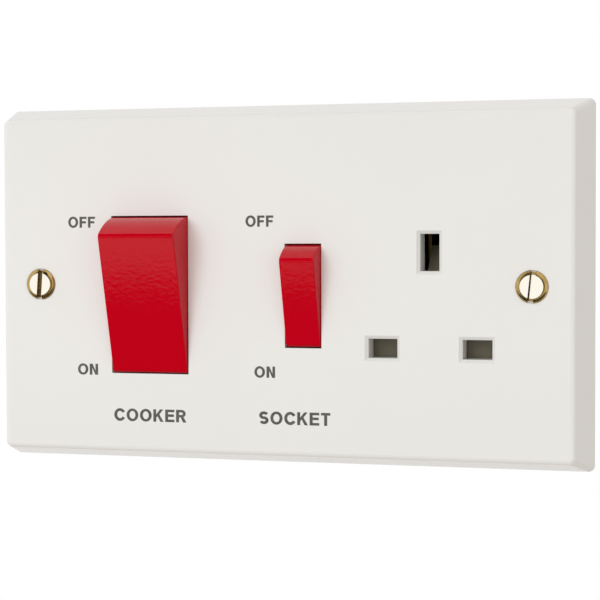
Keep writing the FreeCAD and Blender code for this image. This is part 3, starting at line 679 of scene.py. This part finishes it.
# %% Print the six words
INK_HEIGHT = 0.03 * MM
LEGENDS = {
    "cooker_off_word": ("OFF", -52.97, -45.95, 13.69, 16.42),
    "cooker_on_word": ("ON", -50.69, -45.43, -21.95, -19.20),
    "cooker_word": ("COOKER", -41.25, -22.74, -32.97, -29.89),
    "socket_off_word": ("OFF", -7.65, -0.77, 13.75, 16.47),
    "socket_on_word": ("ON", -5.58, -0.47, -21.82, -19.08),
    "socket_word": ("SOCKET", -4.43, 13.02, -32.81, -29.70),
}
for name, (text, left, right, foot, top) in LEGENDS.items():
    word = printed(text, 2 * INK_HEIGHT)
    fit(word, left * MM, right * MM, foot * MM, top * MM, front_face)
    settle(word, name, ink)
print(f"{len(LEGENDS)} words printed")

# %% [markdown]
# ## Marks moulded in the tray
# Behind the plate, the installer finds the terminals by letters moulded into the tray: live, neutral and
# earth, with the supply above and the load below. They are the tray's own plastic, raised by a third of a
# millimetre, and they read the right way round only from the rear. The built-in font does well here.

# %% Raise the letters on the tray
MARK_RAISE = 0.35 * MM
MARK_HEIGHT = 3.4 * MM
MARK_ROW = 15.6 * MM
WORD_ROW = 9.6 * MM
LETTER_WIDTH = 2.4 * MM
EARTH_WIDTH = 2.2 * MM
SUPPLY_WIDTH = 15 * MM
LOAD_WIDTH = 10.4 * MM
MARK_BOLDNESS = 0.015
MARK_WELD = 1e-5


def raised(text, height):
    """A word in the built-in font, as a solid that reads from the rear."""
    bpy.ops.object.select_all(action="DESELECT")
    bpy.ops.object.text_add(rotation=(math.pi / 2, 0, math.pi))
    word = bpy.context.object
    word.data.body = text
    word.data.offset = MARK_BOLDNESS
    word.data.extrude = height
    return as_solid(word, MARK_WELD)


def middle(node):
    low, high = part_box(node)
    return (low.x + high.x) / 2


def raise_mark(name, text, x, z, width):
    half, rise = width / 2, MARK_HEIGHT / 2
    mark = raised(text, MARK_RAISE)
    fit(mark, x - half, x + half, z - rise, z + rise, rear_face)
    settle(mark, name, finishes["base_black"])
    return mark


marks = [
    raise_mark(f"{row}_{letter}_mark", letter, middle(node), z, LETTER_WIDTH)
    for letter, node in (("L", "live_supply_terminal"), ("N", "neutral_supply_terminal"))
    for row, z in (("supply", MARK_ROW), ("load", -MARK_ROW))
]
marks += [
    raise_mark("earth_E_mark", "E", middle("earth_terminal"), MARK_ROW, EARTH_WIDTH),
    raise_mark("supply_mark", "SUPPLY", middle("cooker_rocker"), WORD_ROW, SUPPLY_WIDTH),
    raise_mark("load_mark", "LOAD", middle("cooker_rocker"), -WORD_ROW, LOAD_WIDTH),
]
print(f"{len(marks)} marks raised on the tray")

# %% [markdown]
# ## Fixing screws
# Two raised countersunk brass screws hold the plate. On the model they are plain turned shapes; the real
# ones have a thread, a softened slot and a rounded shoulder round a flat, polished top. New screws stand
# in for the plain ones. They take their places and their ends from them, so that they fill the same holes.

# %% Sizes of the fixing screws
screws_low, screws_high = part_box("fixing_screws")
HEAD = 3.75 * MM
HEAD_FLAT = 2.7 * MM
NECK = 1.55 * MM
CORE = 1.42 * MM
THREAD = 1.75 * MM
PITCH = 0.6 * MM
POINT = 1.0 * MM
NECK_PAST_PLATE = 0.4 * MM
SLOT_WIDTH = 1.3 * MM
SLOT_DEPTH = 1.3 * MM
SLOT_EDGE = 0.07 * MM
head_top = screws_low.y
thread_start = plate_high.y + NECK_PAST_PLATE
thread_end = screws_high.y
fixing_place = screws_high.x - HEAD
print(f"screws at x = +-{fixing_place / MM:.2f} mm, {(thread_end - head_top) / MM:.1f} mm long")


# %% [markdown]
# ### Polish and a painted highlight for the flats
# Polishing reaches only the flat of a head, so the flat gets a glossy finish of its own and the shoulder
# keeps its brown bloom. The flat's near-white colour, paler than any brass, is a painted highlight that
# stands in for the glare of its reflection. The rim between them could be a seam in the mesh. A mask is
# softer: it is bright up to a distance from the screw's axis. The screws stand as far to the left as to the
# right, so the size of X, without its sign, finds the nearer one, and one finish does for both.

# %% Make the polish and its painted highlight
# Squares of shares of the flat's radius: bright up to the first, dull from the second.
RIM_BRIGHT = 0.96
RIM_DULL = 1.06


def fixing_polish_and_highlight():
    finish = Finish("fixing_polish_and_highlight")
    across, z = finish.size(finish.along("X")) - fixing_place, finish.along("Z")
    away = (across * across + z * z) * (1 / HEAD**2)
    rim = (HEAD_FLAT / HEAD) ** 2
    dull = finish.threshold(away, RIM_BRIGHT * rim, RIM_DULL * rim)
    strokes = finish.noise(STROKE_SCALE, 2, stretch=ALONG_X)
    return finish.set(
        # The pale colour of the flat is a painted highlight; the brown of the shoulder is the brass's bloom.
        base_color=finish.blend(dull, (0.99, 0.94, 0.83), (0.5, 0.34, 0.11)),
        metallic=1.0,
        roughness=0.05 + 0.05 * strokes + 0.15 * dull,
        normal=finish.bump(strokes, 0.1, 0.0005 * MM),
    )


polish = fixing_polish_and_highlight()
print(f"made {polish.name}")


# %% [markdown]
# ### The turned body
# A screw's body is turned on a lathe. Its profile could be spun, but then the seam and the poles would
# have to be closed. Here the body grows from a disc at the point, a ring at a time, as one would extrude
# and scale it by hand, and it ends in the flat. The shoulder is an arc that runs into the flat.

# %% Turn the body of a screw
ROUND = 72


def shoulder(steps=8):
    """Rings of the round shoulder, from the head's rim up to its flat."""
    reach, rise = HEAD - HEAD_FLAT, front_face - head_top
    depth = (reach**2 - rise**2) / (2 * rise)
    radius = math.hypot(reach, depth)
    first = math.atan2(depth, reach)
    last = math.pi / 2
    angles = [first + (last - first) * step / steps for step in range(1, steps + 1)]
    return [
        (front_face + depth - radius * math.sin(angle), HEAD_FLAT + radius * math.cos(angle))
        for angle in angles
    ]


def turned_body(rings):
    """A round solid along Y, extruded from its first ring to its last."""
    bpy.ops.object.select_all(action="DESELECT")
    place, radius = rings[0]
    bpy.ops.mesh.primitive_circle_add(
        vertices=ROUND, radius=radius, fill_type="NGON",
        location=(0, place, 0), rotation=(math.pi / 2, 0, 0),
    )
    body = bpy.context.object
    bpy.ops.object.transform_apply(location=True, rotation=True, scale=True)
    bpy.ops.object.mode_set(mode="EDIT")
    bpy.ops.mesh.select_all(action="SELECT")
    for next_place, next_radius in rings[1:]:
        bpy.ops.mesh.extrude_region_move(TRANSFORM_OT_translate={"value": (0, next_place - place, 0)})
        share = next_radius / radius
        bpy.ops.transform.resize(value=(share, 1, share), center_override=(0, next_place, 0))
        place, radius = next_place, next_radius
    bpy.ops.mesh.select_all(action="SELECT")
    bpy.ops.mesh.normals_make_consistent(inside=False)
    bpy.ops.object.mode_set(mode="OBJECT")
    return body


cone_foot = front_face + HEAD - NECK
screw_rings = [
    (thread_end, POINT),
    (thread_end - (CORE - POINT), CORE),
    (thread_start, CORE),
    (thread_start - (NECK - CORE), NECK),
    (cone_foot, NECK),
    (front_face, HEAD),
    *shoulder(),
]
print(f"a screw is drawn with {len(screw_rings)} rings")


# %% [markdown]
# ### Thread
# A thread is one ridge that winds round the core. It starts as a plane that is pinched to a narrow crest
# on its outer edge. The plane loses its face, and a Screw modifier carries the four edges round and along
# by one pitch a turn. The two open ends are filled, so the ridge is closed before it joins the body.

# %% Wind the thread
RIDGE_SUNK = 0.05 * MM
RIDGE_FOOT = 0.86 * PITCH
RIDGE_CREST_SHARE = 0.16
PLAIN_TURNS = 3
TURN_STEPS = 28
THREAD_WELD = 1e-7
thread_turns = int((thread_end - thread_start) / PITCH) - PLAIN_TURNS


def thread_ridge():
    """One ridge, wound along the screw and closed at both ends."""
    bpy.ops.object.select_all(action="DESELECT")
    bpy.ops.mesh.primitive_plane_add(size=1)
    ridge = bpy.context.object
    inner, first_turn = CORE - RIDGE_SUNK, thread_start + PITCH
    ridge.scale = (THREAD - inner, RIDGE_FOOT, 1)
    ridge.location = ((THREAD + inner) / 2, first_turn, 0)
    bpy.ops.object.transform_apply(location=True, rotation=True, scale=True)
    for vertex in ridge.data.vertices:
        vertex.select = vertex.co.x > CORE
    bpy.ops.object.mode_set(mode="EDIT")
    bpy.ops.transform.resize(value=(1, RIDGE_CREST_SHARE, 1), center_override=(0, first_turn, 0))
    bpy.ops.mesh.select_all(action="SELECT")
    bpy.ops.mesh.delete(type="ONLY_FACE")
    bpy.ops.object.mode_set(mode="OBJECT")
    apply_modifier(
        ridge, "SCREW", axis="Y", screw_offset=PITCH, iterations=thread_turns,
        steps=TURN_STEPS, render_steps=TURN_STEPS,
    )
    in_edit_mode(
        ridge,
        lambda: bpy.ops.mesh.remove_doubles(threshold=THREAD_WELD),
        lambda: bpy.ops.mesh.fill_holes(sides=4),
        lambda: bpy.ops.mesh.normals_make_consistent(inside=False),
    )
    return ridge


print(f"a thread has {thread_turns} turns")

# %% [markdown]
# ### Slot, and the finished screws
# A saw cuts the slot, and a Boolean with a block does the same. A Bevel then takes the sharpness off its
# edges, before the thread joins the body and could be bevelled too. The flats and the slot's faces are by
# far the largest of a screw. They are found by that and shaded flat, because smooth shading would bend
# what they reflect. No fitter stops two slots at quite the same angle, so each screw has a lean of its own.

# %% Cut the slots and place the screws
BEVEL_ANGLE = math.radians(40)
FACES_FRONT = -0.98
FLAT_AREA = 5 * MM**2
LEFT_LEAN = math.radians(4)
RIGHT_LEAN = math.radians(6)


def cut_slot(screw):
    bpy.ops.object.select_all(action="DESELECT")
    bpy.ops.mesh.primitive_cube_add(size=1, location=(0, head_top, 0))
    cutter = bpy.context.object
    cutter.scale = (SLOT_WIDTH, 2 * SLOT_DEPTH, 4 * HEAD)
    apply_modifier(screw, "BOOLEAN", object=cutter, operation="DIFFERENCE", solver="EXACT")
    bpy.data.objects.remove(cutter)


def fixing_screw(name, x, lean):
    screw = turned_body(screw_rings)
    cut_slot(screw)
    apply_modifier(
        screw, "BEVEL", width=SLOT_EDGE, segments=2, limit_method="ANGLE", angle_limit=BEVEL_ANGLE
    )
    ridge = thread_ridge()
    pick(screw)
    ridge.select_set(True)
    bpy.ops.object.join()
    screw.rotation_euler.y = lean
    screw.location.x = x
    settle(screw, name, finishes["fixing_brass"])
    # The second material is the polish with its painted highlight, for the faces that look to the front.
    screw.data.materials.append(polish)
    bpy.ops.object.shade_smooth_by_angle(angle=SMOOTH_ANGLE)
    for face in screw.data.polygons:
        if face.area > FLAT_AREA:
            face.use_smooth = False
        if face.normal.y < FACES_FRONT and face.center.y < front_face + SLOT_DEPTH:
            face.material_index = 1
    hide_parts("fixing_screws")
    return screw


screws = [
    fixing_screw("left_fixing_screw", -fixing_place, LEFT_LEAN),
    fixing_screw("right_fixing_screw", fixing_place, RIGHT_LEAN),
]
print(f"{len(screws)} screws with {len(screws[0].data.polygons)} faces each")

# %% [markdown]
# ## Springs
# The model moves, and a spring that stayed at its rest length would cut into the plunger or the shutter
# that presses on it. Each sliding joint names its spring. A copy of the spring stands in for it and rides on
# the joint's parent. Its reach along the joint's axis and the joint's travel are read, but the copy is not
# squashed: it keeps its rest length.

# %% Copy the springs
COIL_WELD = 0.001 * MM


def sprung(joint):
    node = joint["deforming_nodes"][0]["node"]
    coil = bpy.data.objects.new(f"{node}_coil", nodes[node].data.copy())
    bpy.context.scene.collection.objects.link(coil)
    in_edit_mode(coil, lambda: bpy.ops.mesh.remove_doubles(threshold=COIL_WELD))
    settle(coil, f"{node}_coil", finishes["spring_steel"], joint["parent"])
    bpy.ops.object.shade_smooth_by_angle(angle=SMOOTH_ANGLE)
    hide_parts(node)
    axis = Vector(joint["axis"])
    reach = [axis.dot(vertex.co) for vertex in coil.data.vertices]
    still, moved = max(reach), min(reach)
    travel = joint["range_m"][1]
    1 - travel / (still - moved)
    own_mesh(coil)


sliding = [joint for joint in frame["joints"] if joint["type"] == "slide"]
for joint in sliding:
    sprung(joint)
print(f"{len(sliding)} springs give with their joints")

# %% [markdown]
# ## Studio light
# The photograph has a pure white ground and soft light with one large source at the upper left. The world
# gives the soft part. It is white to the camera and to mirrors, and dimmer and warmer as a lamp, so that
# the white plate still shows its slopes.

# %% Light the world
AMBIENT = 0.66
WARM = (1, 0.925, 0.855)
WHITE = (1, 1, 1)
world = bpy.data.worlds.new("studio_world")
bpy.context.scene.world = world
sky = Tree(world)


def light_path(ray):
    return sky.node("ShaderNodeLightPath", output=ray)


rays = light_path("Is Camera Ray") + light_path("Is Glossy Ray") + light_path("Is Transmission Ray")
seen = sky.node("ShaderNodeClamp", inputs={"Value": rays})
background = sky.nodes["Background"]
sky.feed(background.inputs["Color"], sky.blend(seen, WARM, WHITE))
sky.feed(background.inputs["Strength"], AMBIENT + (1 - AMBIENT) * seen)
print(f"the world gives {AMBIENT:.0%} of its light as a lamp")

# %% [markdown]
# ### Key light
# A large area lamp, a little cooler than the world, adds the direction. It is kept out of reflections,
# where it would draw a bright line along the rounded top of each rocker that the photograph doesn't show.

# %% Hang the key light
KEY_AZIMUTH = math.radians(-16)
KEY_ELEVATION = math.radians(14)
KEY_DISTANCE = 1.75
KEY_WIDTH = 1.2
KEY_HEIGHT = 1.5
KEY_POWER = 13.7
COOL = (0.92, 0.975, 1)
key_place = KEY_DISTANCE * direction(KEY_AZIMUTH, KEY_ELEVATION)
bpy.ops.object.light_add(type="AREA", location=key_place)
key = bpy.context.object
key.name = "key_light"
key.data.shape = "RECTANGLE"
key.data.size = KEY_WIDTH
key.data.size_y = KEY_HEIGHT
key.data.energy = KEY_POWER
key.data.color = COOL
key.visible_glossy = False
key.rotation_euler = key_place.to_track_quat("Z", "Y").to_euler()
print(f"key light of {KEY_POWER} W, {KEY_DISTANCE} m away")

# %% [markdown]
# ## Floor
# The unit hangs on a wall, well above the floor, so the floor is only a pale round. It fades into the white
# ground before its edge: the distance from its centre drives its alpha.

# %% Lay the floor
FLOOR = -200 * MM
FLOOR_RADIUS = 450 * MM
FADE_START = 0.35


def floor_pale():
    finish = Finish("floor_pale")
    from_centre = finish.node("ShaderNodeVectorMath", {"operation": "LENGTH"}, {0: finish.place}, "Value")
    return finish.set(
        base_color=finish.blend(finish.noise(6), (0.9, 0.9, 0.895), (0.87, 0.87, 0.865)),
        roughness=0.9,
        alpha=1 - finish.threshold(from_centre * (1 / FLOOR_RADIUS), FADE_START, 1),
    )


bpy.ops.object.select_all(action="DESELECT")
bpy.ops.mesh.primitive_circle_add(
    vertices=96, radius=FLOOR_RADIUS, fill_type="NGON", location=(0, 0, FLOOR)
)
floor = bpy.context.object
floor.name = "floor"
floor.data.materials.append(floor_pale())
print(f"floor at z = {FLOOR / MM:.0f} mm")

# %% [markdown]
# ## Flag and cards
# A studio flag, a black sheet that lies in front of the unit and below the picture, darkens the lower half
# of what the glossy red rockers reflect. Three black cards stand for the dark room: one behind the camera,
# which draws a dark line round the screws, and two where the rockers' rounded edges look, which keep those
# edges a deep red. All of them are seen in reflections alone.

# %% Set up the flag and the cards
FLAG_NEAR = -20 * MM
FLAG_FAR = -322 * MM
FLAG_MIDDLE = -100 * MM
FLAG_WIDTH = 1200 * MM
FLAG_ABOVE_FLOOR = 1 * MM
CARD_DISTANCE = 900 * MM
black = Finish("flag_black").set(base_color=(0.004, 0.004, 0.004, 1), roughness=1.0)
flag_depth = FLAG_NEAR - FLAG_FAR
flag_place = (FLAG_MIDDLE, (FLAG_NEAR + FLAG_FAR) / 2, FLOOR + FLAG_ABOVE_FLOOR)


def dark_sheet(name, width, height, place, turn=(0, 0, 0)):
    """A black sheet that only reflections show."""
    bpy.ops.object.select_all(action="DESELECT")
    bpy.ops.mesh.primitive_plane_add(size=1, location=place, rotation=turn)
    sheet = bpy.context.object
    sheet.name = name
    sheet.scale = (width, height, 1)
    sheet.visible_camera = False
    sheet.visible_diffuse = False
    sheet.visible_shadow = False
    sheet.data.materials.append(black)
    return sheet


def dark_card(name, azimuth, low, high, width):
    """A card that faces the unit, between two elevations in degrees."""
    facing = direction(azimuth, math.radians(low + high) / 2)
    height = 2 * CARD_DISTANCE * math.tan(math.radians(high - low) / 2)
    return dark_sheet(name, width, height, CARD_DISTANCE * facing, facing.to_track_quat("Z", "Y").to_euler())


flag = dark_sheet("studio_flag", FLAG_WIDTH, flag_depth, flag_place)
cards = [
    dark_card("camera_card", AZIMUTH, low=-13.4, high=17.6, width=420 * MM),
    dark_card("lower_card", -AZIMUTH, low=-25, high=-7, width=600 * MM),
    dark_card("upper_card", -AZIMUTH, low=4, high=66, width=600 * MM),
]
print(f"flag {flag_depth / MM:.0f} mm deep, {len(cards)} cards {CARD_DISTANCE / MM:.0f} mm away")
